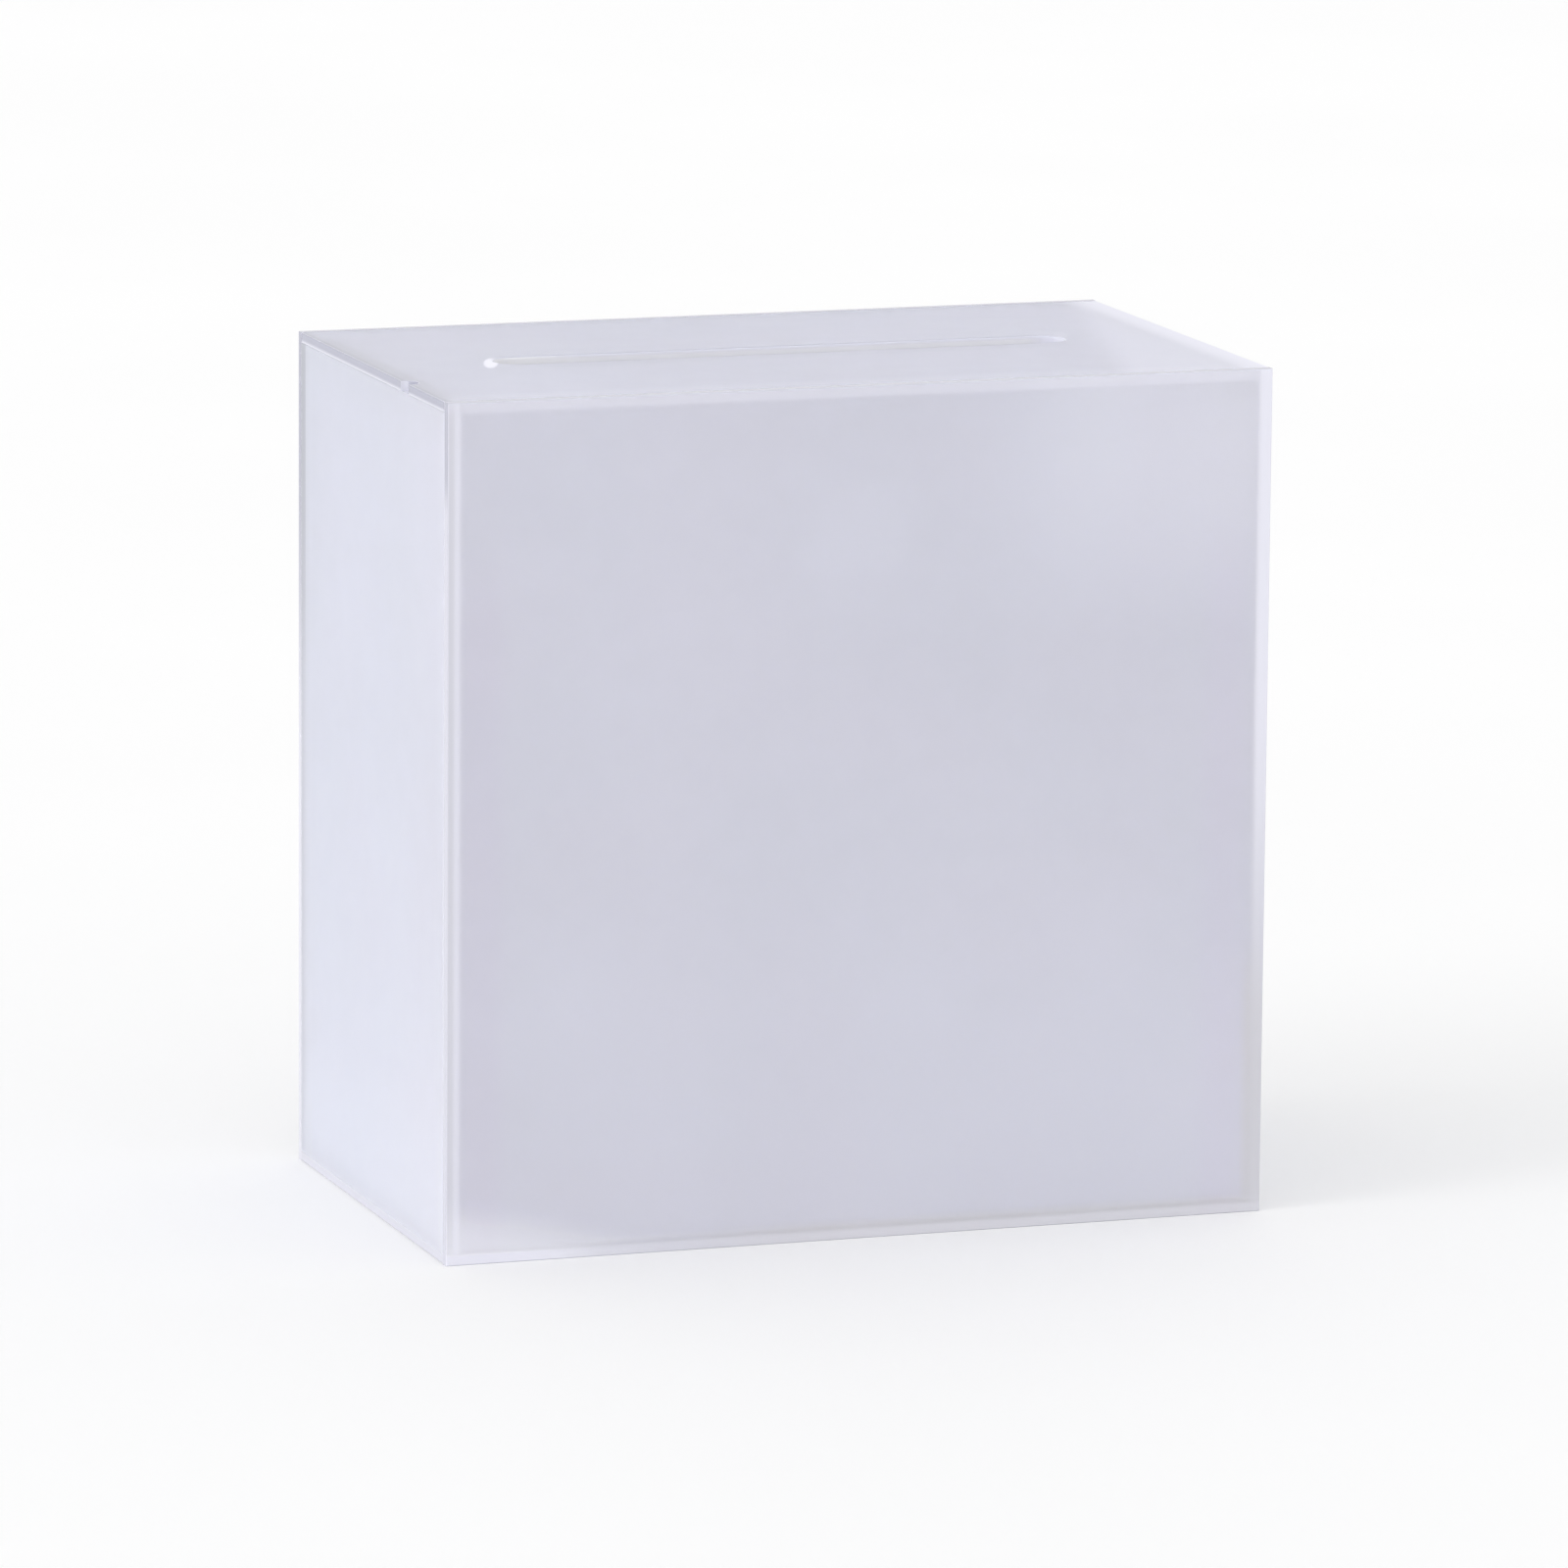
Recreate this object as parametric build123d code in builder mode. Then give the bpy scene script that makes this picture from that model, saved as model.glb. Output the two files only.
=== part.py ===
"""Frosted acrylic box with a slotted lift-off lid, for cards, ballots or donations.

Five sheets are solvent-bonded edge to face into an open case. The lid drops in between the
front and back sheets, rests on the tops of the side sheets and lifts straight off.
Millimetres, +Z up. The origin is the middle of the footprint, on the surface the box stands
on. The front faces -Y.
"""

from build123d import *
import os

os.makedirs("parts", exist_ok=True)

# --- Driving dimensions -------------------------------------------------------------------
box_width = 250.0  # X, outside
box_depth = 150.0  # Y, outside
box_height = 250.0  # Z, outside, from the surface to the top of the closed lid
sheet = 3.0  # thickness of every sheet
eased_edge = 0.4  # radius on cut edges that a hand can touch

slot_length = 176.0  # end to end, along X
slot_width = 15.0  # takes a stuffed envelope
slot_rim = 0.8  # rounding of the slot's rim, so that an envelope doesn't snag

notch_radius = 4.0  # half-round lift notch in the lid's left edge
notch_from_front = 42.0  # from the front of the box to the middle of the notch

lid_play = 0.3  # gap round the lid and its strips, on each side
strip_height = 10.0  # how far the locating strips hang below the lid
strip_length = 120.0  # along Y
strip_lead_in = 1.0  # chamfer that guides the strips into the case

# --- Worked out from them -----------------------------------------------------------------
inner_depth = box_depth - 2 * sheet  # between the front and back sheets
lid_depth = inner_depth - 2 * lid_play
lid_seat = box_height - sheet  # top of the side sheets
side_height = lid_seat - sheet  # the side sheets stand on the bottom sheet
strip_offset = box_width / 2 - sheet - lid_play - sheet / 2  # from the middle to a strip's middle
notch_y = notch_from_front - box_depth / 2

front, back = Vector(0, -1, 0), Vector(0, 1, 0)
left, right = Vector(-1, 0, 0), Vector(1, 0, 0)


def upright_plane(facing, distance):
    """A vertical plane that faces away from the box's axis, with its own y axis up."""
    return Plane(origin=facing * distance, x_dir=Vector(0, 0, 1).cross(facing), z_dir=facing)


def save(part, name):
    """Labels a finished piece and writes it as its own STEP file."""
    part.label = name
    export_step(part, f"parts/{name}.step")


# --- Front and back sheets: full width and height, covering the edges of all the others ---
for name, facing in (("front_panel", front), ("back_panel", back)):
    with BuildPart() as face_panel:
        with BuildSketch(upright_plane(facing, box_depth / 2 - sheet)):
            Rectangle(box_width, box_height, align=(Align.CENTER, Align.MIN))
        extrude(amount=sheet)
        outer_face = face_panel.faces().sort_by(Axis((0, 0, 0), facing))[-1]
        fillet(outer_face.edges(), eased_edge)
    save(face_panel.part, name)

# --- Side sheets: between the front and back sheets, standing on the bottom sheet ---------
for name, facing in (("left_panel", left), ("right_panel", right)):
    with BuildPart() as side_panel:
        with BuildSketch(upright_plane(facing, box_width / 2 - sheet)):
            with Locations((0, sheet)):
                Rectangle(inner_depth, side_height, align=(Align.CENTER, Align.MIN))
        extrude(amount=sheet)
        outer_face = side_panel.faces().sort_by(Axis((0, 0, 0), facing))[-1]
        fillet(outer_face.edges().sort_by(Axis.Z)[-1], eased_edge)
    save(side_panel.part, name)

# --- Bottom sheet: between the front and back sheets, under the side sheets ----------------
with BuildPart() as bottom_panel:
    with BuildSketch(Plane.XY):
        Rectangle(box_width, inner_depth)
    extrude(amount=sheet)
    underside_edges = bottom_panel.faces().sort_by(Axis.Z)[0].edges()
    fillet(underside_edges.filter_by(Axis.Y), eased_edge)
save(bottom_panel.part, "bottom_panel")

# --- Lid sheet: the card slot along its middle, and the lift notch in its left edge --------
with BuildPart() as lid_panel:
    with BuildSketch(Plane.XY.offset(lid_seat)):
        Rectangle(box_width, lid_depth)
        SlotOverall(slot_length, slot_width, mode=Mode.SUBTRACT)
        with Locations((-box_width / 2, notch_y)):
            Circle(notch_radius, mode=Mode.SUBTRACT)
    extrude(amount=sheet)
    top_face = lid_panel.faces().sort_by(Axis.Z)[-1]
    underside = lid_panel.faces().sort_by(Axis.Z)[0]
    slot_edges = top_face.inner_wires()[0].edges() + underside.inner_wires()[0].edges()
    fillet(slot_edges, slot_rim)
    top_face = lid_panel.faces().sort_by(Axis.Z)[-1]
    fillet(top_face.outer_wire().edges(), eased_edge)
save(lid_panel.part, "lid_panel")

# --- Locating strips: bonded under the lid, just inside the side sheets --------------------
for name, side in (("lid_strip_left", -1), ("lid_strip_right", 1)):
    with BuildPart() as lid_strip:
        with BuildSketch(Plane.XY.offset(lid_seat - strip_height)):
            with Locations((side * strip_offset, 0)):
                Rectangle(sheet, strip_length)
        extrude(amount=strip_height)
        lower_edges = lid_strip.faces().sort_by(Axis.Z)[0].edges()
        chamfer(lower_edges, strip_lead_in)
    save(lid_strip.part, name)
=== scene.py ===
"""Looks of the frosted acrylic box: materials, solvent beads, floor, light and camera.

Metres, in the CAD model's frame: +Z up, front towards -Y, origin under the middle of the box.
"""

import math

import bmesh
import bpy
from mathutils import Matrix, Vector, noise


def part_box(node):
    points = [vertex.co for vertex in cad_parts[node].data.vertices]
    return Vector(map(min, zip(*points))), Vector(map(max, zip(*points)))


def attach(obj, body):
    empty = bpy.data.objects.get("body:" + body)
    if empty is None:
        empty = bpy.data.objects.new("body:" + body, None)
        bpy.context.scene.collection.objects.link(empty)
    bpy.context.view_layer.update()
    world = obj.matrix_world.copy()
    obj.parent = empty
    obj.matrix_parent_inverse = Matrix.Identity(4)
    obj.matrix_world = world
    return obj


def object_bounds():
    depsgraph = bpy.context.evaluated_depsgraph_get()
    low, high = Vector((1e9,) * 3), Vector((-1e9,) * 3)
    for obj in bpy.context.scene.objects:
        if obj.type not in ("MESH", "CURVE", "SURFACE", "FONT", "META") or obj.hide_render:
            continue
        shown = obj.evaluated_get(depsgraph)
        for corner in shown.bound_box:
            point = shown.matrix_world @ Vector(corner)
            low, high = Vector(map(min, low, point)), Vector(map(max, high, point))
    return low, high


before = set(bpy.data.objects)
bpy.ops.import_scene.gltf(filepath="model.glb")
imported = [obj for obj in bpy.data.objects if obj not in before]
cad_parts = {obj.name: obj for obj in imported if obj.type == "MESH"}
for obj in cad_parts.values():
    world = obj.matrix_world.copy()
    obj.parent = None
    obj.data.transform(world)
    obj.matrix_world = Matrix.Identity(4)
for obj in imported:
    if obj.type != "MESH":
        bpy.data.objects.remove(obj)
cad_low, cad_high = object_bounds()

MM = 0.001
X, Y, Z = 0, 1, 2

# Sizes read from the frame.
front_low, front_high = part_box("front_panel")
SHEET = front_high.y - front_low.y
HALF_WIDTH = cad_high.x
HALF_DEPTH = cad_high.y
HEIGHT = cad_high.z
CENTRE = (cad_low + cad_high) / 2
INNER_X = HALF_WIDTH - SHEET
INNER_Y = HALF_DEPTH - SHEET

# The lid's cut-outs, at the CAD model's sizes.
SLOT_HALF_LENGTH = 88 * MM
SLOT_RADIUS = 7.5 * MM
NOTCH_Y = -33 * MM
NOTCH_RADIUS = 4 * MM


def rgb(red, green, blue):
    return (red, green, blue, 1.0)


# ------------------------------------------------------------------------------------------
# Shader graphs
# ------------------------------------------------------------------------------------------
class Graph:
    """A material's node tree, with short calls for the nodes that are used here.

    A mask is a socket, or a plain number, that is 1 where something shows and 0 elsewhere.
    """

    def __init__(self, name):
        self.material = bpy.data.materials.new(name)
        self.material.use_nodes = True
        self.tree = self.material.node_tree
        self.tree.nodes.clear()
        coords = self.node("TexCoord")
        self.place = coords.outputs["Object"]
        self.at = self.xyz(self.place)
        self.facing = [self.math("ABSOLUTE", part) for part in self.xyz(coords.outputs["Normal"])]

    def node(self, kind, **inputs):
        """A node with its inputs set: an output socket is linked, and anything else is a value."""
        made = self.tree.nodes.new("ShaderNode" + kind)
        for key, value in inputs.items():
            self.feed(made.inputs[key.replace("_", " ")], value)
        return made

    def feed(self, socket, value):
        if isinstance(value, bpy.types.NodeSocket):
            self.tree.links.new(value, socket)
        else:
            socket.default_value = value

    def math(self, operation, a, b=0.0, c=0.0):
        made = self.tree.nodes.new("ShaderNodeMath")
        made.operation = operation
        for socket, value in zip(made.inputs, (a, b, c)):
            self.feed(socket, value)
        return made.outputs[0]

    def vector(self, operation, a, b=(0.0, 0.0, 0.0)):
        made = self.tree.nodes.new("ShaderNodeVectorMath")
        made.operation = operation
        self.feed(made.inputs[0], a)
        self.feed(made.inputs[1], b)
        return made.outputs["Vector"]

    def xyz(self, vector):
        made = self.node("SeparateXYZ", Vector=vector)
        return [made.outputs[key] for key in "XYZ"]

    def all_of(self, *masks):
        total = masks[0]
        for mask in masks[1:]:
            total = self.math("MULTIPLY", total, mask)
        return total

    def any_of(self, *masks):
        total = masks[0]
        for mask in masks[1:]:
            total = self.math("MAXIMUM", total, mask)
        return total

    def ramp(self, value, low, high, to_low=0.0, to_high=1.0):
        """value from low..high to to_low..to_high, eased at both ends and held beyond them."""
        made = self.tree.nodes.new("ShaderNodeMapRange")
        made.interpolation_type = "SMOOTHSTEP"
        self.feed(made.inputs["Value"], value)
        limits = {"From Min": low, "From Max": high, "To Min": to_low, "To Max": to_high}
        for key, number in limits.items():
            self.feed(made.inputs[key], number)
        return made.outputs["Result"]

    def rise(self, axis, start, full):
        """0 where the coordinate is at start or before it, eased to 1 at full and beyond."""
        return self.ramp(self.at[axis], start, full)

    def near(self, axis, centre, half, soft):
        """1 where the coordinate is within half of centre, eased to 0 over soft."""
        away = self.math("ABSOLUTE", self.math("SUBTRACT", self.at[axis], centre))
        return self.ramp(away, half + soft / 2, half - soft / 2)

    def leaning(self, axis, along, lean, start=0.0):
        """The coordinate on one axis plus lean times how far the other's is past start."""
        past = self.math("SUBTRACT", self.at[along], start)
        return self.math("ADD", self.at[axis], self.math("MULTIPLY", past, lean))

    def spot(self, x, y, half_x, half_y, lean):
        """A soft leaning ellipse on a level face: 1 in its middle, 0 beyond its rim."""
        middle = self.math("MULTIPLY_ADD", self.math("SUBTRACT", self.at[Y], y), lean, x)
        across = self.math("DIVIDE", self.math("SUBTRACT", self.at[X], middle), half_x)
        along = self.math("DIVIDE", self.math("SUBTRACT", self.at[Y], y), half_y)
        squares = self.math("MULTIPLY", across, across), self.math("MULTIPLY", along, along)
        return self.ramp(self.math("ADD", *squares), 1.0, 0.45)

    def mix(self, factor, a, b, blend="MIX"):
        made = self.tree.nodes.new("ShaderNodeMix")
        made.data_type = "RGBA"
        made.blend_type = blend
        self.feed(made.inputs["Factor"], factor)
        self.feed(made.inputs["A"], a)
        self.feed(made.inputs["B"], b)
        return made.outputs["Result"]

    def lighten(self, colour, amount):
        """colour times 1 + amount, where amount is a socket."""
        made = self.tree.nodes.new("ShaderNodeVectorMath")
        made.operation = "SCALE"
        self.feed(made.inputs[0], colour[:3])
        self.feed(made.inputs["Scale"], self.math("ADD", amount, 1.0))
        return made.outputs["Vector"]

    def noise(self, scale, detail=2.0, roughness=0.5, stretch=None):
        """Noise with about scale features to the metre."""
        vector = self.place if stretch is None else self.vector("MULTIPLY", self.place, stretch)
        made = self.node("TexNoise", Vector=vector, Scale=scale, Detail=detail, Roughness=roughness)
        return made.outputs["Fac"]

    def between(self, pattern, low=0.0, high=1.0):
        """A noise pattern's middle stretch, spread over low..high."""
        return self.ramp(pattern, 0.3, 0.7, low, high)

    def bump(self, height, distance, strength, normal=None):
        made = self.node("Bump", Height=height, Distance=distance, Strength=strength)
        if normal is not None:
            self.feed(made.inputs["Normal"], normal)
        return made.outputs["Normal"]

    def finish(self, **inputs):
        """Closes the tree with a Principled shader and gives the material back."""
        shader = self.node("BsdfPrincipled", **inputs)
        out = self.node("OutputMaterial", Surface=shader.outputs[0])
        out.is_active_output = True
        return self.material


# ------------------------------------------------------------------------------------------
# Frosted sheets
# ------------------------------------------------------------------------------------------
FROST = rgb(0.872, 0.870, 0.962)
PAINTED_BAND_LIGHT = rgb(0.900, 0.898, 1.000)  # painted light where a bonded edge behind the sheet shows through, and on lit zones of the lid

# Cut edges.
CUT_PLAIN = rgb(0.760, 0.760, 0.850)
CUT_PALE = rgb(0.715, 0.715, 0.800)  # blends into the faces beside it
CUT_LEVEL = rgb(0.620, 0.620, 0.710)  # faces up, so it also mirrors the sky
# Painted shade for upright cut edges near the top.
CUT_PAINTED_SHADE = rgb(0.420, 0.425, 0.520)
# The front sheet's upright edges: darker than a plain cut edge by painted shade, and darker still
# near the top.
FRONT_EDGE = rgb(0.680, 0.680, 0.780)
FRONT_EDGE_PAINTED_SHADE = rgb(0.465, 0.470, 0.565)
# Painted light: the lid's front edge, paler than a plain cut edge.
LID_FRONT_EDGE_PAINTED_LIGHT = rgb(0.940, 0.940, 1.000)
NOTCH_WALL = rgb(0.750, 0.755, 0.840)
# Painted light on the slot's walls: palest below the rim and at the left end, least at the right end.
SLOT_RIM = rgb(0.820, 0.820, 0.930)
SLOT_DEEP = rgb(0.935, 0.937, 1.000)
SLOT_LEFT = rgb(0.955, 0.957, 1.000)
SLOT_RIGHT = rgb(0.780, 0.780, 0.900)
# A painted highlight at the ends of the slot.
PAINTED_GLINT = rgb(0.905, 0.905, 1.0)

# Tints that multiply the frost's colour. PURPLE and GREYER tint painted shade, and WARM tints a
# painted haze of light.
PALE_BLUE = rgb(0.993, 1.0, 1.0)
PURPLE = rgb(0.992, 0.978, 0.994)
WARM = rgb(0.995, 0.998, 0.975)
GREYER = rgb(0.979, 0.968, 0.921)
SIDE_BLUE = rgb(0.982, 1.0, 1.010)
LID_BLUE = rgb(0.995, 1.0, 1.02)

# Shares of the light that go straight through.
FROST_CLEAR = 0.42
LIGHT_BAND_CLEAR = 0.10
CUT_CLEAR = 0.12
OPAQUE = 0.0

ACRYLIC_IOR = 1.49
POLISH_LIFT = 0.65  # how far a flame-polished wall's normal leans up, for its rounded surface
EVERYWHERE = 1.0  # a mask

# Painted light bands over bonded edges reach a little further than the sheet behind is thick.
BAND = SHEET + 0.3 * MM
BAND_SOFT = 2.0 * MM

# Noise scales, in features to the metre.
CLOUDS = 11.0
HUES = 17.0
SMUDGES = 34.0
MOTTLES = 95.0
RIPPLES = 420.0
GRAINS = 1900.0
STRIATIONS = 2400.0

CLOUD_LIGHT = 0.012  # how far the clouds change the brightness, either way
MOTTLE_LIGHT = 0.006
SATIN = (0.47, 0.53)  # roughness of the frosted faces
SMUDGE_GLOSS = 0.05  # how much less rough a smudge is
CUT_GLOSS = 0.27  # how much less rough a laser-cut edge is
RIPPLE_HEIGHT = 0.7  # compared with the grain's
STRIATION_STRETCH = 0.04  # of the noise through the sheet's thickness, which draws it out
GRAIN_DEPTH = 0.02 * MM


class Sheet(Graph):
    """Frosted acrylic: satin faces that look along one axis, and laser-cut edges."""

    def __init__(self, name, across):
        super().__init__(name)
        self.across = across
        self.cut = self.ramp(self.facing[across], 0.75, 0.45)  # 1 where the surface isn't a face
        self.light = None
        self.light_bands = None
        self.tints = []
        self.glint = None
        self.polished = None
        self.cut_colour = CUT_PLAIN
        self.cut_clear = CUT_CLEAR

    def brighter(self, mask, by):
        """Makes the sheet brighter by a share of its own brightness where the mask is 1. It carries
        the frost's own clouds and mottles, and painted light and shade.
        """
        term = self.math("MULTIPLY", mask, by)
        self.light = term if self.light is None else self.math("ADD", self.light, term)

    def paint_light_band(self, mask, share=1.0):
        """A band of painted light, such as where another sheet's edge meets this one's back."""
        term = self.math("MULTIPLY", mask, share)
        self.light_bands = term if self.light_bands is None else self.any_of(self.light_bands, term)

    def tinted(self, mask, colour):
        """Multiplies the faces' colour by another where the mask is 1."""
        self.tints.append((mask, colour))

    def edge(self, mask, colour, clear=CUT_CLEAR):
        """Gives a cut edge inside the mask a colour of its own; some of these colours are painted
        light and shade.
        """
        self.cut_colour = self.mix(mask, self.cut_colour, colour)
        self.cut_clear = self.ramp(mask, 0.0, 1.0, self.cut_clear, clear)

    def done(self):
        light_bands = 0.0 if self.light_bands is None else self.light_bands
        return self.finish(
            Base_Color=self.colour(light_bands),
            Roughness=self.roughness(),
            IOR=ACRYLIC_IOR,
            Transmission_Weight=self.clearness(light_bands),
            Normal=self.satin(),
        )

    def colour(self, light_bands):
        """Frost with faint clouds, mottles and changes of hue, under painted light and shade, light
        bands, tints, edges and glints.
        """
        cloud = self.between(self.noise(CLOUDS, 3.0), -CLOUD_LIGHT, CLOUD_LIGHT)
        mottle = self.between(self.noise(MOTTLES, 3.0), -MOTTLE_LIGHT, MOTTLE_LIGHT)
        self.brighter(self.math("ADD", cloud, mottle), by=1.0)
        face = self.lighten(FROST, self.light)
        hue = self.ramp(self.noise(HUES, 2.0), 0.35, 0.65)
        face = self.mix(hue, face, PALE_BLUE, "MULTIPLY")
        for mask, tint in self.tints:
            face = self.mix(mask, face, tint, "MULTIPLY")
        face = self.mix(light_bands, face, PAINTED_BAND_LIGHT)
        colour = self.mix(self.cut, face, self.cut_colour)
        return colour if self.glint is None else self.mix(self.glint, colour, PAINTED_GLINT)

    def roughness(self):
        """Satin, a little glossier in the smudges and clearly glossier on the cut edges."""
        smudge = self.ramp(self.noise(SMUDGES, 4.0, 0.6), 0.45, 0.75)
        rough = self.between(self.noise(CLOUDS, 3.0), *SATIN)
        rough = self.math("SUBTRACT", rough, self.math("MULTIPLY", smudge, SMUDGE_GLOSS))
        return self.math("SUBTRACT", rough, self.math("MULTIPLY", self.cut, CUT_GLOSS))

    def clearness(self, light_bands):
        """How much light goes through: less at the painted light bands and the cut edges, none at a
        painted glint.
        """
        clear = self.ramp(light_bands, 0.0, 1.0, FROST_CLEAR, LIGHT_BAND_CLEAR)
        clear = self.ramp(self.cut, 0.0, 1.0, clear, self.cut_clear)
        return clear if self.glint is None else self.ramp(self.glint, 0.0, 1.0, clear, OPAQUE)

    def satin(self):
        """Fine frosted grain on the faces, and laser striations across the cut edges."""
        grain = self.noise(GRAINS, 2.0, 0.6)
        ripple = self.noise(RIPPLES)
        stretch = [1.0, 1.0, 1.0]
        stretch[self.across] = STRIATION_STRETCH
        striation = self.noise(STRIATIONS, 1.0, stretch=stretch)
        height = self.math("ADD", grain, self.math("MULTIPLY", ripple, RIPPLE_HEIGHT))
        height = self.ramp(self.cut, 0.0, 1.0, height, striation)
        surface = self.node("NewGeometry").outputs["Normal"]
        if self.polished is not None:
            lift = self.node("CombineXYZ", Z=self.math("MULTIPLY", self.polished, POLISH_LIFT))
            surface = self.vector("NORMALIZE", self.vector("ADD", surface, lift.outputs["Vector"]))
        return self.bump(height, GRAIN_DEPTH, 0.5, surface)


# In the sheets below, X and Y places are from the box's middle and Z places from the surface
# that it stands on.
def front_sheet():
    """A sheet with painted shade, painted light along its borders and a painted haze of light in its
    bottom left corner.
    """
    g = Sheet("frosted_acrylic_front", Y)
    front_light_bands(g)
    front_edges(g)
    front_light(g)
    front_shade(g)
    return g.done()


def front_light_bands(g):
    """Painted light bands along its borders stand for the edges of the sheets behind it."""
    left_core = g.near(X, -HALF_WIDTH + 2.6 * MM, half=1.5 * MM, soft=2.6 * MM)
    left = g.near(X, -HALF_WIDTH, half=BAND, soft=BAND_SOFT)
    right = g.near(X, HALF_WIDTH, half=SHEET + 1.2 * MM, soft=3 * MM)
    right_fade = g.ramp(g.at[Z], 40 * MM, 175 * MM, 0.45, 1.0)
    bottom = g.near(Z, 0.0, half=BAND, soft=BAND_SOFT)
    bottom_fade = g.ramp(g.at[X], -112 * MM, -75 * MM, 1.0, 0.52)
    top = g.near(Z, HEIGHT, half=BAND, soft=BAND_SOFT)
    g.paint_light_band(left_core, share=0.62)
    g.paint_light_band(left, share=0.48)
    g.paint_light_band(g.all_of(right, right_fade), share=0.88)
    g.paint_light_band(g.all_of(bottom, bottom_fade))
    g.paint_light_band(top, share=0.45)


def front_edges(g):
    """Painted shade darkens its upright edges, most near the top."""
    g.edge(g.facing[Z], CUT_LEVEL)
    g.edge(g.facing[X], FRONT_EDGE)
    g.edge(g.all_of(g.facing[X], g.rise(Z, 216 * MM, 230 * MM)), FRONT_EDGE_PAINTED_SHADE)


def front_light(g):
    """Painted light: it is lighter towards its top right corner, along its top, and near the floor.
    """
    top_right = g.all_of(g.rise(X, 30 * MM, 78 * MM), g.rise(Z, 165 * MM, 235 * MM))
    right = g.all_of(g.rise(X, 90 * MM, 117 * MM), g.rise(Z, 80 * MM, 175 * MM))
    g.brighter(top_right, by=0.085)
    g.brighter(right, by=0.025)
    g.brighter(g.rise(Z, 150 * MM, 245 * MM), by=0.012)
    g.brighter(g.rise(Z, 120 * MM, 0.0), by=0.042)
    g.brighter(g.near(Z, 105 * MM, half=45 * MM, soft=50 * MM), by=0.014)
    # Painted light: haze from the lit floor lies in its bottom left corner and thins out to the
    # right.
    slope = g.leaning(Z, X, 0.215, start=-HALF_WIDTH)
    haze = g.all_of(g.ramp(slope, 21.5 * MM, 6.5 * MM), g.rise(X, -40 * MM, -90 * MM))
    g.brighter(haze, by=0.26)
    g.tinted(haze, WARM)
    # Painted light on a low band, so that the corners of the sheets behind it leave no line inside
    # the bonds.
    g.brighter(g.near(Z, 4.4 * MM, half=0.8 * MM, soft=1.6 * MM), by=0.035)
    # Faint painted patches of light lie in its upper half.
    left_x = g.near(X, -97 * MM, half=12 * MM, soft=14 * MM)
    left_z = g.near(Z, 201 * MM, half=8 * MM, soft=10 * MM)
    middle_x = g.near(X, -2 * MM, half=15 * MM, soft=18 * MM)
    middle_z = g.near(Z, 208 * MM, half=14 * MM, soft=14 * MM)
    g.brighter(g.all_of(left_x, left_z), by=0.018)
    g.brighter(g.all_of(middle_x, middle_z), by=0.022)


def front_shade(g):
    """A purple shade lies just inside each side sheet, and a grey one in the bottom right corner."""
    below = g.rise(Z, 215 * MM, 180 * MM)
    left = g.near(X, -115 * MM, half=6 * MM, soft=8 * MM)
    right = g.near(X, 112 * MM, half=6 * MM, soft=10 * MM)
    g.tinted(g.all_of(left, below), PURPLE)
    g.tinted(g.all_of(right, below), PURPLE)
    low = g.near(Z, 0.0, half=5 * MM, soft=4 * MM)
    outer = g.near(X, HALF_WIDTH, half=6 * MM, soft=4 * MM)
    low_edge = g.all_of(low, g.rise(X, -70 * MM, -10 * MM))
    right_edge = g.all_of(outer, g.rise(Z, 85 * MM, 60 * MM))
    g.tinted(g.any_of(low_edge, right_edge), GREYER)


def back_sheet():
    """Plainer than the front sheet, with the same kind of painted light bands, and painted shade on
    its upright edges near the top.
    """
    g = Sheet("frosted_acrylic_back", Y)
    for side in (-1, 1):
        g.paint_light_band(g.near(X, side * HALF_WIDTH, half=BAND, soft=BAND_SOFT), share=0.55)
    g.paint_light_band(g.near(Z, 0.0, half=BAND, soft=BAND_SOFT), share=0.40)
    g.paint_light_band(g.near(Z, HEIGHT, half=BAND, soft=BAND_SOFT), share=0.36)
    g.edge(g.facing[Z], CUT_LEVEL)
    g.edge(g.all_of(g.facing[X], g.rise(Z, 110 * MM, 215 * MM)), CUT_PAINTED_SHADE)
    return g.done()


def side_sheet(name):
    """Bluer and lighter than the front by painted light, with a band of painted shade beside the back
    sheet.
    """
    g = Sheet(name, X)
    g.paint_light_band(g.near(Y, -INNER_Y, half=1.3 * MM, soft=1.6 * MM), share=0.30)
    g.paint_light_band(g.near(Z, SHEET, half=1.5 * MM, soft=2 * MM), share=0.30)
    g.tinted(g.ramp(g.at[Y], -HALF_DEPTH, 20 * MM, 0.35, 1.0), SIDE_BLUE)
    g.brighter(EVERYWHERE, by=0.018)
    # Painted shade: a dark band beside the back sheet's bonded edge, which fades downwards.
    beside_back = g.near(Y, INNER_Y, half=4.4 * MM, soft=0.8 * MM)
    g.brighter(g.all_of(beside_back, g.rise(Z, 120 * MM, 215 * MM)), by=-0.18)
    # Painted light: lighter strips run beside the front and back sheets and under the lid.
    g.brighter(g.near(Y, -INNER_Y, half=6 * MM, soft=10 * MM), by=0.02)
    g.brighter(g.near(Y, INNER_Y - 8 * MM, half=3 * MM, soft=3 * MM), by=0.015)
    g.brighter(g.near(Z, HEIGHT - SHEET, half=1.5 * MM, soft=2 * MM), by=0.015)
    # Painted light from the floor on its lower part, most at the front.
    g.brighter(g.rise(Z, 150 * MM, 0.0), by=0.055)
    g.brighter(g.all_of(g.rise(Z, 90 * MM, 15 * MM), g.rise(Y, 40 * MM, -60 * MM)), by=0.035)
    g.brighter(g.rise(Z, 50 * MM, 8 * MM), by=0.035)
    return g.done()


def bottom_sheet():
    """Only its left and right edges show."""
    g = Sheet("frosted_acrylic_bottom", Z)
    g.edge(g.facing[X], CUT_PALE)
    return g.done()


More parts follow.
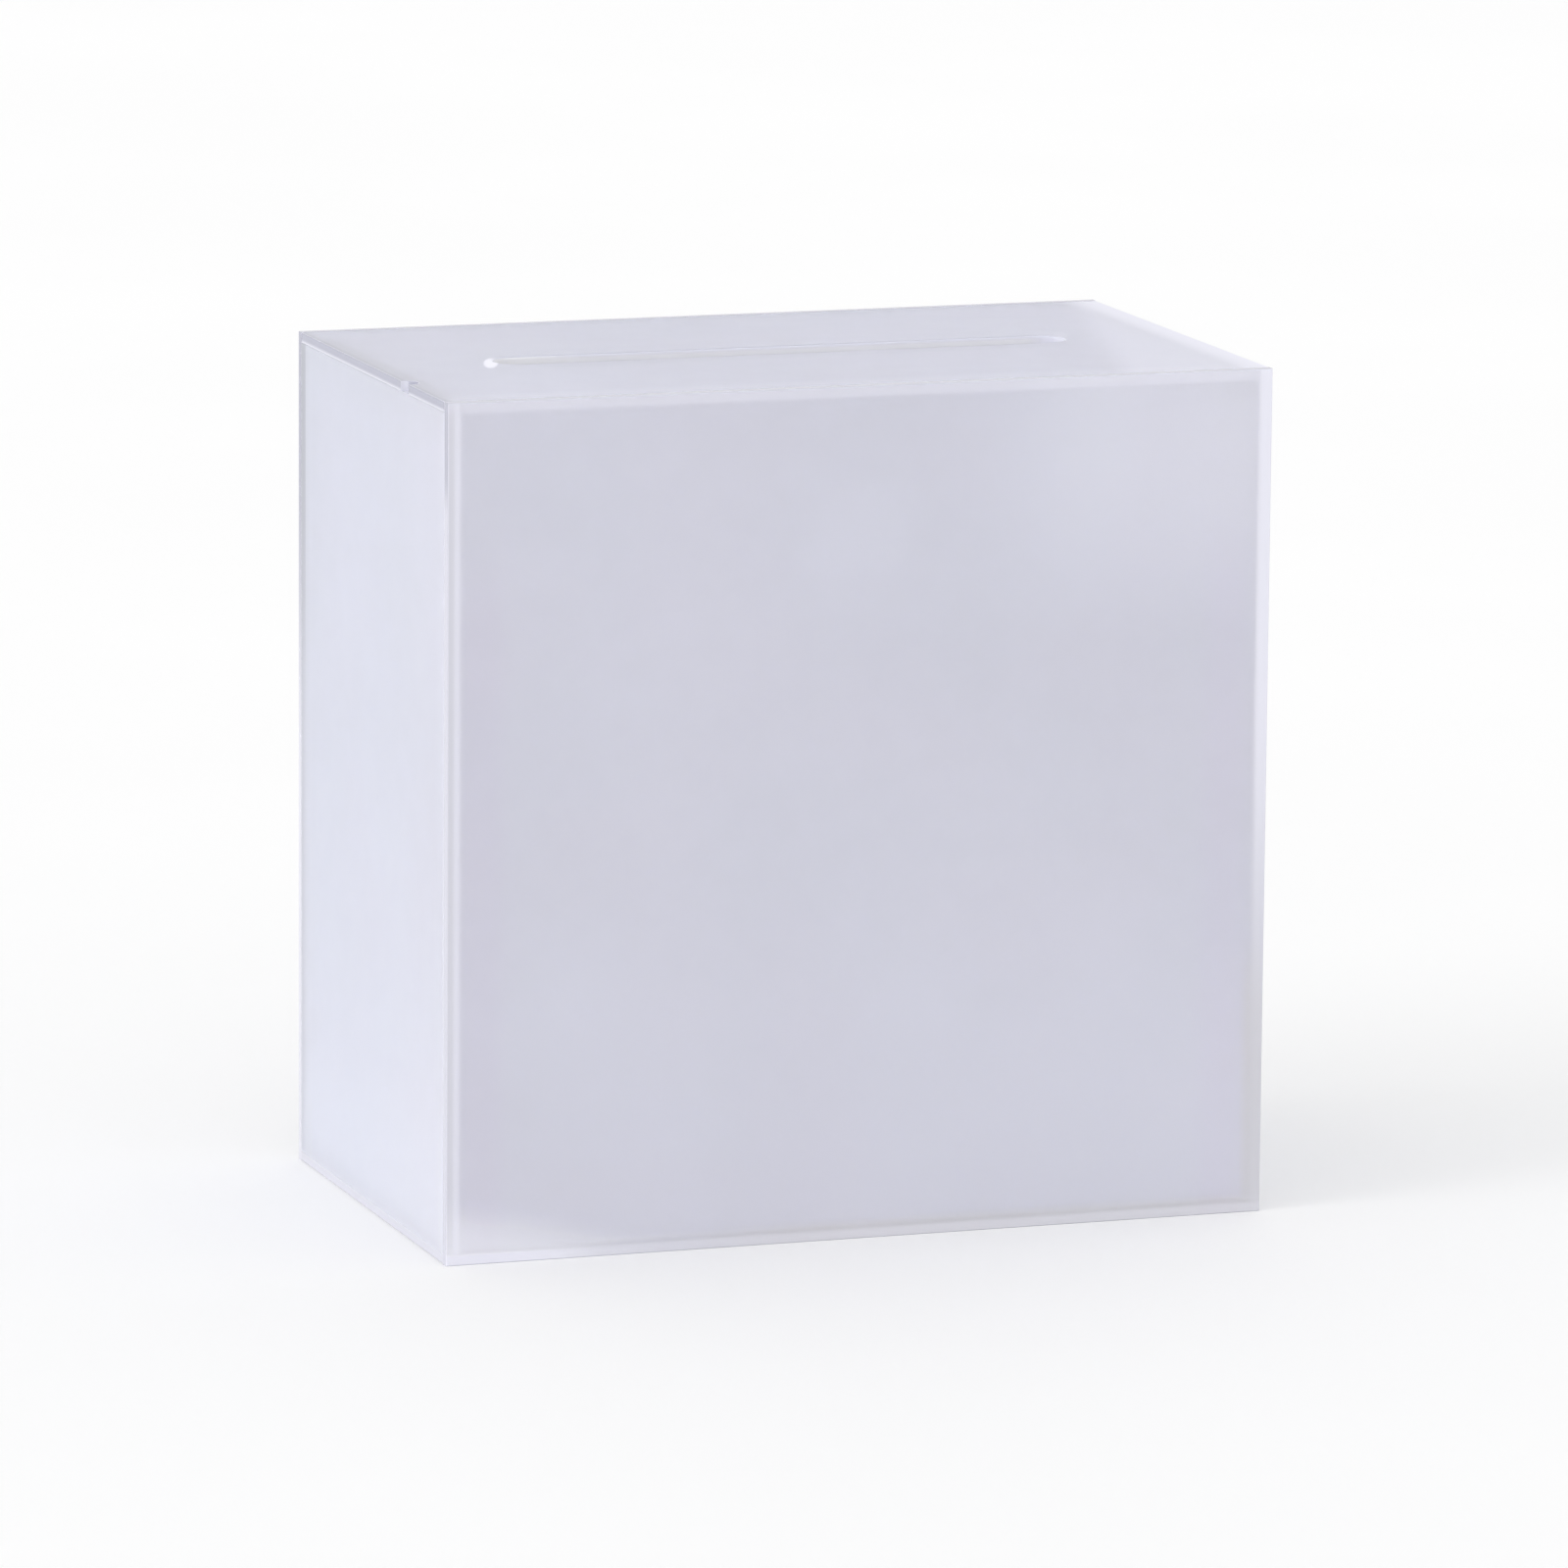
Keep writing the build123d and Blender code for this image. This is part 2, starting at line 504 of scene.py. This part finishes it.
def lid_sheet():
    """The lid, with the walls of its slot and notch lighter than its outer edges, by painted light
    and shade.
    """
    g = Sheet("frosted_acrylic_lid", Z)
    lid_outer_edges(g)
    lid_slot_walls(g)
    lid_notch_wall(g)
    lid_light(g)
    lid_glints(g)
    return g.done()


def lid_outer_edges(g):
    """Painted shade darkens its left and right edges in their upper part, and painted light makes its
    front edge pale.
    """
    upper = g.rise(Z, HEIGHT - SHEET, HEIGHT - 1.8 * MM)
    beside_front = g.near(Y, -INNER_Y, half=2 * MM, soft=1 * MM)
    g.edge(g.facing[X], g.mix(upper, CUT_PLAIN, CUT_PAINTED_SHADE))
    g.edge(g.all_of(g.facing[Y], beside_front), LID_FRONT_EDGE_PAINTED_LIGHT, OPAQUE)


def lid_slot_walls(g):
    """Walls painted with light, lightest at the left and below the rim; their shading normal leans
    up.
    """
    along = g.near(X, 0.0, half=SLOT_HALF_LENGTH + 2 * MM, soft=1 * MM)
    across = g.near(Y, 0.0, half=SLOT_RADIUS + 2 * MM, soft=1 * MM)
    in_slot = g.all_of(along, across)
    # The slot's rounded lower rim counts as part of its wall.
    lower_rim = g.rise(Z, HEIGHT - 1.4 * MM, HEIGHT - 2.2 * MM)
    g.cut = g.any_of(g.cut, g.all_of(in_slot, lower_rim))
    wall = g.mix(g.rise(Z, HEIGHT - 0.4 * MM, HEIGHT - 1.4 * MM), SLOT_RIM, SLOT_DEEP)
    wall = g.mix(g.rise(X, -55 * MM, -80 * MM), wall, SLOT_LEFT)
    wall = g.mix(g.rise(X, 78 * MM, 86 * MM), wall, SLOT_RIGHT)
    g.edge(in_slot, wall, OPAQUE)
    g.polished = g.all_of(in_slot, g.cut)


def lid_notch_wall(g):
    """The part of the notch's wall that looks to the front."""
    beside_left = g.near(X, -HALF_WIDTH, half=NOTCH_RADIUS + 1 * MM, soft=1 * MM)
    back_half = g.near(Y, NOTCH_Y + NOTCH_RADIUS, half=NOTCH_RADIUS, soft=1 * MM)
    looks_to_front = g.ramp(g.facing[Y], 0.80, 0.90)
    g.edge(g.all_of(beside_left, back_half, looks_to_front), NOTCH_WALL, OPAQUE)


def lid_light(g):
    """Painted light: it is lighter towards its right-hand edge, its left end and its front edge."""
    g.tinted(EVERYWHERE, LID_BLUE)
    g.brighter(EVERYWHERE, by=0.03)
    skew = g.leaning(X, Y, -0.26)
    g.paint_light_band(g.ramp(skew, 90 * MM, 106 * MM), share=0.42)
    g.paint_light_band(g.rise(X, 108 * MM, 124 * MM), share=0.95)
    g.brighter(g.ramp(skew, 88 * MM, 104 * MM), by=0.03)
    g.brighter(g.ramp(skew, 108 * MM, 140 * MM), by=0.03)
    g.paint_light_band(g.near(X, -HALF_WIDTH, half=8 * MM, soft=8 * MM), share=0.12)
    g.brighter(g.rise(X, -40 * MM, -110 * MM), by=0.03)
    g.brighter(g.near(Y, -INNER_Y, half=9 * MM, soft=9 * MM), by=0.04)
    # Painted shade: a narrow dark strip of the face beside its left-hand edge.
    g.brighter(g.near(X, -HALF_WIDTH, half=1.2 * MM, soft=1.6 * MM), by=-0.12)
    # Painted shade in front of the slot stands for the slot's front wall seen through the sheet.
    ahead = g.near(Y, -11.5 * MM, half=3.5 * MM, soft=7 * MM)
    beside_slot = g.near(X, 2 * MM, half=82 * MM, soft=14 * MM)
    g.brighter(g.all_of(ahead, beside_slot), by=-0.035)


def lid_glints(g):
    """Painted glints at the rounded ends of the slot, more at the left one."""
    lean = 0.307  # metres of X for each metre of Y, which makes them look upright in the photo's view
    left = g.spot(-89.9 * MM, -3.2 * MM, half_x=2.6 * MM, half_y=11.0 * MM, lean=lean)
    right = g.spot(88.8 * MM, 4.5 * MM, half_x=2.6 * MM, half_y=9.5 * MM, lean=lean)
    g.glint = g.any_of(left, g.math("MULTIPLY", right, 0.22))


# ------------------------------------------------------------------------------------------
# Clear acrylic and solvent
# ------------------------------------------------------------------------------------------
STRIP_TONES = (rgb(0.90, 0.92, 0.97), rgb(0.96, 0.97, 1.0))
STRIP_ROUGH = (0.06, 0.14)
STRIP_CLEAR = 0.9
STRIP_HAZE, SCRATCHES = 120.0, 900.0  # noise scales
SCRATCH_STRETCH = (1.0, 0.06, 1.0)  # the scratches run front to back
SCRATCH_DEPTH = 0.01 * MM

BEAD_TONES = (rgb(0.93, 0.935, 1.0), rgb(0.98, 0.98, 1.0))
BEAD_ROUGH = (0.20, 0.45)
BEAD_CLEAR = 0.10
BEAD_IOR = 1.45
BUBBLES, BEAD_RIPPLES = 1500.0, 700.0  # noise scales
BEAD_RIPPLE_DEPTH = 0.03 * MM


def clear_acrylic():
    """Polished clear acrylic, with a little haze and fine scratches."""
    g = Graph("clear_acrylic")
    haze = g.noise(STRIP_HAZE, 3.0)
    scratch = g.noise(SCRATCHES, stretch=SCRATCH_STRETCH)
    return g.finish(
        Base_Color=g.mix(g.between(haze), *STRIP_TONES),
        Roughness=g.between(haze, *STRIP_ROUGH),
        IOR=ACRYLIC_IOR,
        Transmission_Weight=STRIP_CLEAR,
        Normal=g.bump(scratch, SCRATCH_DEPTH, 0.4),
    )


def solvent_bead_material():
    """The clear bead that solvent cement leaves in an inner corner, with tiny bubbles."""
    g = Graph("solvent_bead")
    bubbles = g.ramp(g.noise(BUBBLES, 1.0), 0.62, 0.72)
    return g.finish(
        Base_Color=g.mix(bubbles, *BEAD_TONES),
        Roughness=g.ramp(bubbles, 0.0, 1.0, *BEAD_ROUGH),
        IOR=BEAD_IOR,
        Transmission_Weight=BEAD_CLEAR,
        Normal=g.bump(g.noise(BEAD_RIPPLES), BEAD_RIPPLE_DEPTH, 0.5),
    )


# ------------------------------------------------------------------------------------------
# Solvent beads in the inner corners
# ------------------------------------------------------------------------------------------
BEAD_LEG = 0.9 * MM  # how far a bead reaches along each sheet
BEAD_STEP = 2.5 * MM  # spacing of the bead's sections along its length
BEAD_SINK = 0.01 * MM  # keeps the bead's outer faces off the sheets' own faces
BEAD_ARC_STEPS = 4  # flats across the bead's hollow face
LONG_WANDER, SHORT_WANDER = 90.0, 310.0  # scales, in features to the metre, at which it swells
WANDER_A, WANDER_B = 0.28, -0.20  # how much the legs swell, one while the other shrinks
BEAD_END_GAP = 1.2 * MM  # how far a bead stops short of the beads that cross its ends
BEAD_TOP_GAP = 2 * MM  # how far the upright beads stop below the side sheets' tops
STRIP_BEAD_GAP = 1 * MM  # how far a strip's bead stops short of the strip's ends
LEFT_RIGHT = (("left", -1), ("right", 1))
FRONT_BACK = (("front", -1), ("back", 1))


def add_object(name, data):
    """A new object in the scene that holds the mesh, lamp or camera data."""
    made = bpy.data.objects.new(name, data)
    bpy.context.scene.collection.objects.link(made)
    return made


def bead_section(at, into_a, into_b):
    """Points round a bead's section: the corner, then an arc that hollows away from it."""
    wander = noise.noise(at * LONG_WANDER) + 0.5 * noise.noise(at * SHORT_WANDER)
    leg_a = BEAD_LEG * (1.0 + WANDER_A * wander)
    leg_b = BEAD_LEG * (1.0 + WANDER_B * wander)
    corner = at + (into_a + into_b) * BEAD_SINK
    points = [corner]
    for step in range(BEAD_ARC_STEPS + 1):
        turn = math.radians(90.0 * step / BEAD_ARC_STEPS)
        reach_a = into_a * leg_a * (1 - math.sin(turn))
        reach_b = into_b * leg_b * (1 - math.cos(turn))
        points.append(corner + reach_a + reach_b)
    return points


def bead(name, start, end, into_a, into_b, material, body):
    """A concave fillet from start to end, in the corner between directions into_a and into_b."""
    start, end, into_a, into_b = map(Vector, (start, end, into_a, into_b))
    run = end - start
    count = max(2, round(run.length / BEAD_STEP))
    mesh = bmesh.new()
    rings = []
    for i in range(count + 1):
        points = bead_section(start + run * (i / count), into_a, into_b)
        rings.append([mesh.verts.new(point) for point in points])
    for a, b in zip(rings, rings[1:]):
        for k in range(len(a)):
            j = (k + 1) % len(a)
            mesh.faces.new((a[k], a[j], b[j], b[k]))
    mesh.faces.new(rings[0])
    mesh.faces.new(rings[-1])
    bmesh.ops.recalc_face_normals(mesh, faces=mesh.faces)
    data = bpy.data.meshes.new(name)
    mesh.to_mesh(data)
    mesh.free()
    for face in data.polygons:
        face.use_smooth = True
    data.materials.append(material)
    made = add_object(name, data)
    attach(made, body)


def case_beads(material):
    """Up the case's four corners, and round its bottom."""
    floor_z = SHEET
    foot, top = floor_z + BEAD_END_GAP, HEIGHT - SHEET - BEAD_TOP_GAP
    end_x, end_y = INNER_X - BEAD_END_GAP, INNER_Y - BEAD_END_GAP
    for x_name, x in LEFT_RIGHT:
        for y_name, y in FRONT_BACK:
            name = f"solvent_bead_{y_name}_{x_name}"
            low, high = (x * INNER_X, y * INNER_Y, foot), (x * INNER_X, y * INNER_Y, top)
            bead(name, low, high, (-x, 0, 0), (0, -y, 0), material, "case")
        name = f"solvent_bead_bottom_{x_name}"
        front, back = (x * INNER_X, -end_y, floor_z), (x * INNER_X, end_y, floor_z)
        bead(name, front, back, (-x, 0, 0), (0, 0, 1), material, "case")
    for y_name, y in FRONT_BACK:
        name = f"solvent_bead_bottom_{y_name}"
        left, right = (-end_x, y * INNER_Y, floor_z), (end_x, y * INNER_Y, floor_z)
        bead(name, left, right, (0, -y, 0), (0, 0, 1), material, "case")


def strip_beads(material):
    """Under the lid, along the inner side of each locating strip."""
    for x_name, x in LEFT_RIGHT:
        strip_low, strip_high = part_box(f"lid_strip_{x_name}")
        inner = strip_high.x if x < 0 else strip_low.x
        front = (inner, strip_low.y + STRIP_BEAD_GAP, strip_high.z)
        back = (inner, strip_high.y - STRIP_BEAD_GAP, strip_high.z)
        name = f"solvent_bead_strip_{x_name}"
        bead(name, front, back, (-x, 0, 0), (0, 0, -1), material, "lid")


def beads():
    material = solvent_bead_material()
    case_beads(material)
    strip_beads(material)


# ------------------------------------------------------------------------------------------
# Dressing the CAD nodes
# ------------------------------------------------------------------------------------------
def dress_cad():
    """Gives every CAD node its finished material."""
    strip = clear_acrylic()
    finishes = {
        "front_panel": front_sheet(),
        "back_panel": back_sheet(),
        "left_panel": side_sheet("frosted_acrylic_left"),
        "right_panel": side_sheet("frosted_acrylic_right"),
        "bottom_panel": bottom_sheet(),
        "lid_panel": lid_sheet(),
        "lid_strip_left": strip,
        "lid_strip_right": strip,
    }
    for node, material in finishes.items():
        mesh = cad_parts[node].data
        mesh.materials.clear()
        mesh.materials.append(material)


# ------------------------------------------------------------------------------------------
# Stage, light and camera
# ------------------------------------------------------------------------------------------
FLOOR_SIZE = 24.0
FLOOR_TONES = (rgb(0.960, 0.960, 0.960), rgb(0.970, 0.970, 0.970))
FLOOR_ROUGH = 0.8
FLOOR_MOTTLE = 3.0  # noise scale
WORLD_LEVEL = 0.95
# The key light's share of the light on a face that looks left, front or up.
KEY = Vector((-0.25, -0.045, 0.08))
KEY_SPREAD = 34.0  # degrees

# The photo's viewpoint: angles in degrees, and how far the camera is moved off its aim.
AZIMUTH, ELEVATION, ROLL = -18.92, 10.50, 0.46
DISTANCE = 3.22
SHIFT = Vector((1.81 * MM, -4.15 * MM, 0.0))
FOCAL_LENGTH = 251.0  # millimetres, as Blender takes it
SENSOR_WIDTH = 36.0
CLIP_END = 100.0


def floor():
    """A wide pale floor with a faint mottle."""
    g = Graph("pale_floor")
    mottle = g.between(g.noise(FLOOR_MOTTLE, 4.0))
    material = g.finish(Base_Color=g.mix(mottle, *FLOOR_TONES), Roughness=FLOOR_ROUGH)
    half = FLOOR_SIZE / 2
    mesh = bpy.data.meshes.new("floor")
    corners = [(-half, -half, 0), (half, -half, 0), (half, half, 0), (-half, half, 0)]
    mesh.from_pydata(corners, [], [(0, 1, 2, 3)])
    mesh.materials.append(material)
    add_object("floor", mesh)


def sun(name, share, spread):
    """A wide sun whose light on a white face square to it has brightness share.length."""
    lamp = bpy.data.lights.new(name, "SUN")
    lamp.energy = share.length * math.pi
    lamp.angle = math.radians(spread)
    made = add_object(name, lamp)
    made.rotation_mode = "QUATERNION"
    made.rotation_quaternion = share.to_track_quat("Z", "Y")


def light():
    """An even white studio, with one soft key light low at the left."""
    studio = bpy.data.worlds.new("studio")
    bpy.context.scene.world = studio
    studio.use_nodes = True
    background = studio.node_tree.nodes["Background"]
    background.inputs["Color"].default_value = rgb(1.0, 1.0, 1.0)
    background.inputs["Strength"].default_value = WORLD_LEVEL
    sun("key", KEY, KEY_SPREAD)


def camera():
    """From the front left and a little above, through a long lens."""
    azimuth, elevation, roll = map(math.radians, (AZIMUTH, ELEVATION, ROLL))
    level = math.cos(elevation)
    back = Vector((math.sin(azimuth) * level, -math.cos(azimuth) * level, math.sin(elevation)))
    turn = (-back).to_track_quat("-Z", "Y").to_matrix() @ Matrix.Rotation(roll, 3, "Z")
    data = bpy.data.cameras.new("camera")
    data.lens = FOCAL_LENGTH
    data.sensor_width = SENSOR_WIDTH
    data.clip_end = CLIP_END
    made = add_object("camera", data)
    made.rotation_mode = "QUATERNION"
    made.rotation_quaternion = turn.to_quaternion()
    made.location = CENTRE + back * DISTANCE + turn @ SHIFT
    bpy.context.scene.camera = made


def colour_management():
    settings = bpy.context.scene.view_settings
    settings.view_transform = "Standard"
    settings.look = "None"
    settings.exposure = 0.0


dress_cad()
beads()
floor()
light()
camera()
colour_management()
